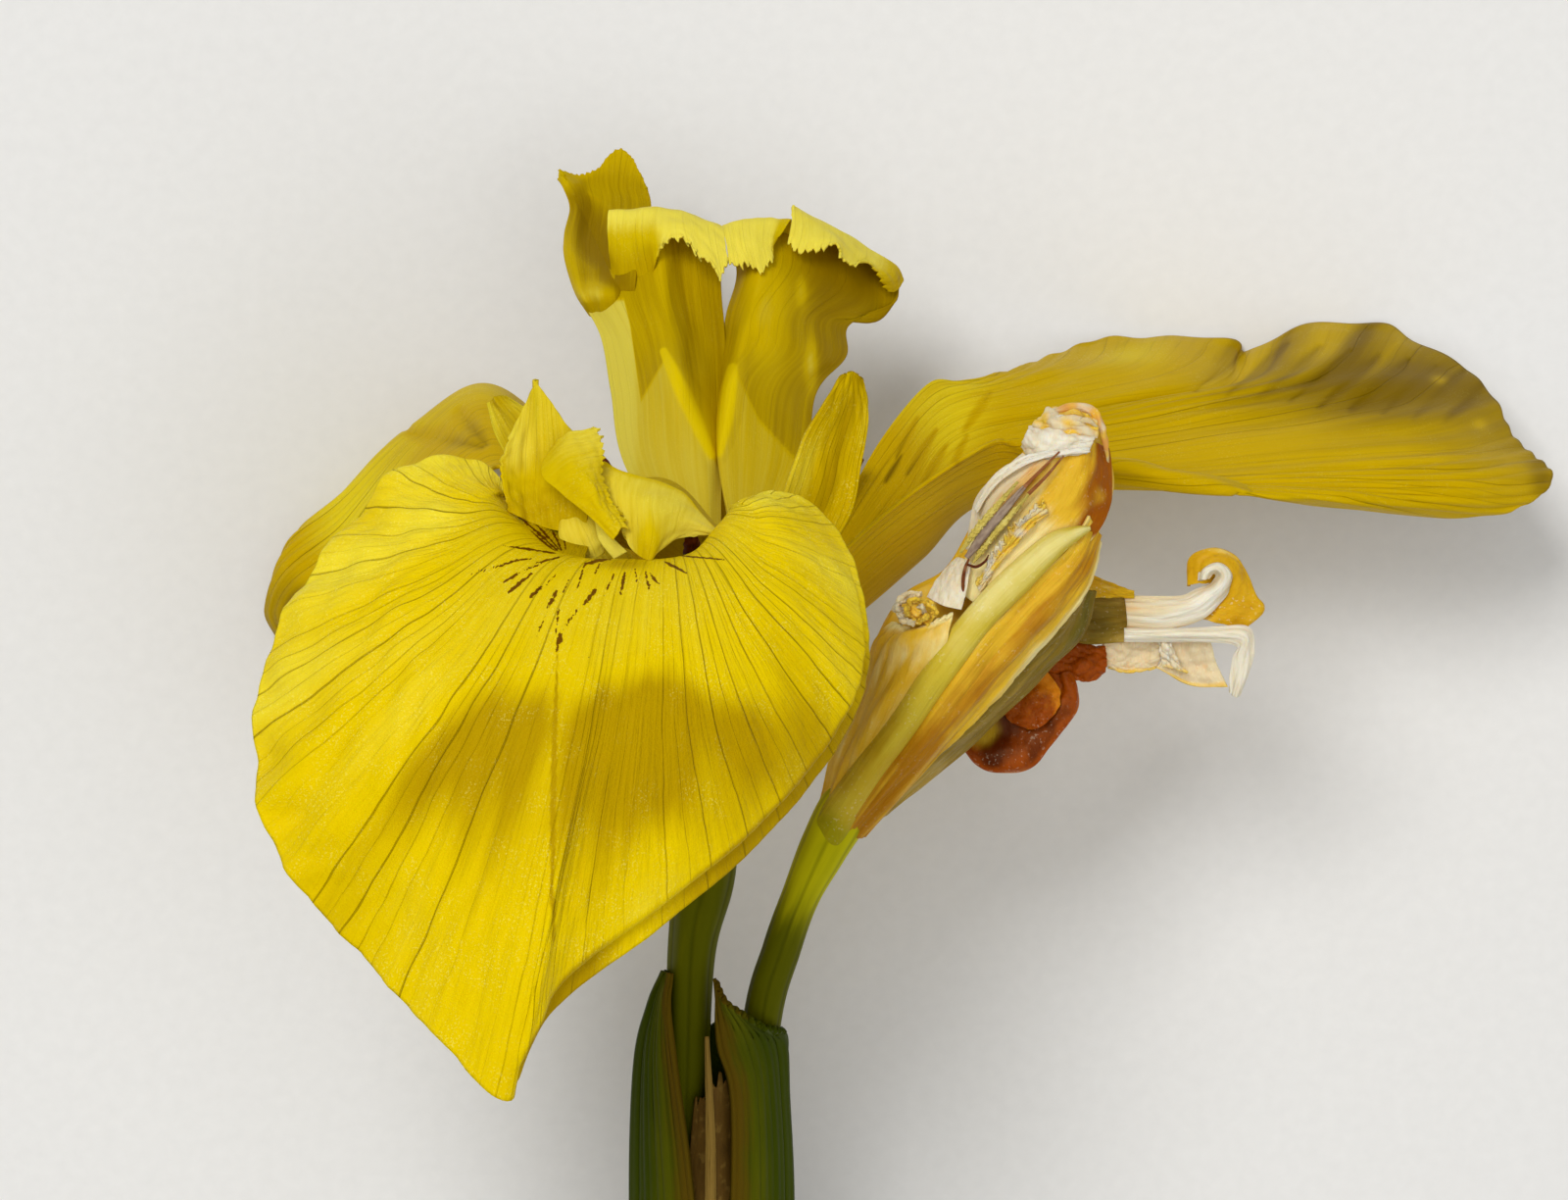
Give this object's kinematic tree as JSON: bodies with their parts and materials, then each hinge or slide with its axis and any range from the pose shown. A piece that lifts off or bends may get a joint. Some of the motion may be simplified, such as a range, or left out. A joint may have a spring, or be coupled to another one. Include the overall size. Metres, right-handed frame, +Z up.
{
  "type": "iris flower",
  "caption": "Cut stem of yellow flag iris lying on its back: an open flower with drooping veined falls and a withered flower, both rising from green spathes.",
  "frame": {"origin": "middle of the object's box, on the surface that the flower lies on", "axes": "+Z up from the surface, +Y along the stem from the cut end to the open flower, +X to the right seen from above with the flower away from the viewer"},
  "size_m": [0.0972, 0.1521, 0.0697],
  "materials": {
    "petal": "soft satin petal with fine veins",
    "style": "soft satin petal, paler",
    "anther": "matte, dusty",
    "stalk": "smooth satin green skin",
    "spathe": "satin, with fine lengthwise veins",
    "dry_spathe": "matte and papery",
    "withered": "limp and moist, satin",
    "withered_pale": "limp and glossy, nearly colourless",
    "withered_claw": "limp, satin, with a fine sparkle",
    "withered_orange": "limp, satin"
  },
  "bodies": {
    "root": {"stem": "stalk", "flower_stalk": "stalk", "withered_stalk": "stalk", "perianth_tube": "petal", "style_column": "style", "spathe_left": "spathe", "spathe_right": "spathe", "spathe_inner": "dry_spathe", "fall_front": "petal", "fall_left": "petal", "fall_right": "petal", "standard_right": "petal", "standard_left": "petal", "standard_back": "petal", "style_arm_front": "style", "style_arm_left": "style", "style_arm_right": "style", "filament_front": "style", "filament_left": "style", "filament_right": "style", "anther_front": "anther", "anther_left": "anther", "anther_right": "anther", "withered_bundle": "withered", "withered_claw": "withered_claw", "withered_stamen": "anther", "withered_lip": "withered_orange", "withered_crest": "withered_pale", "withered_fall_pale": "withered_pale", "withered_curl": "withered", "withered_fall_orange": "withered_orange"}
  },
  "joints": []
}
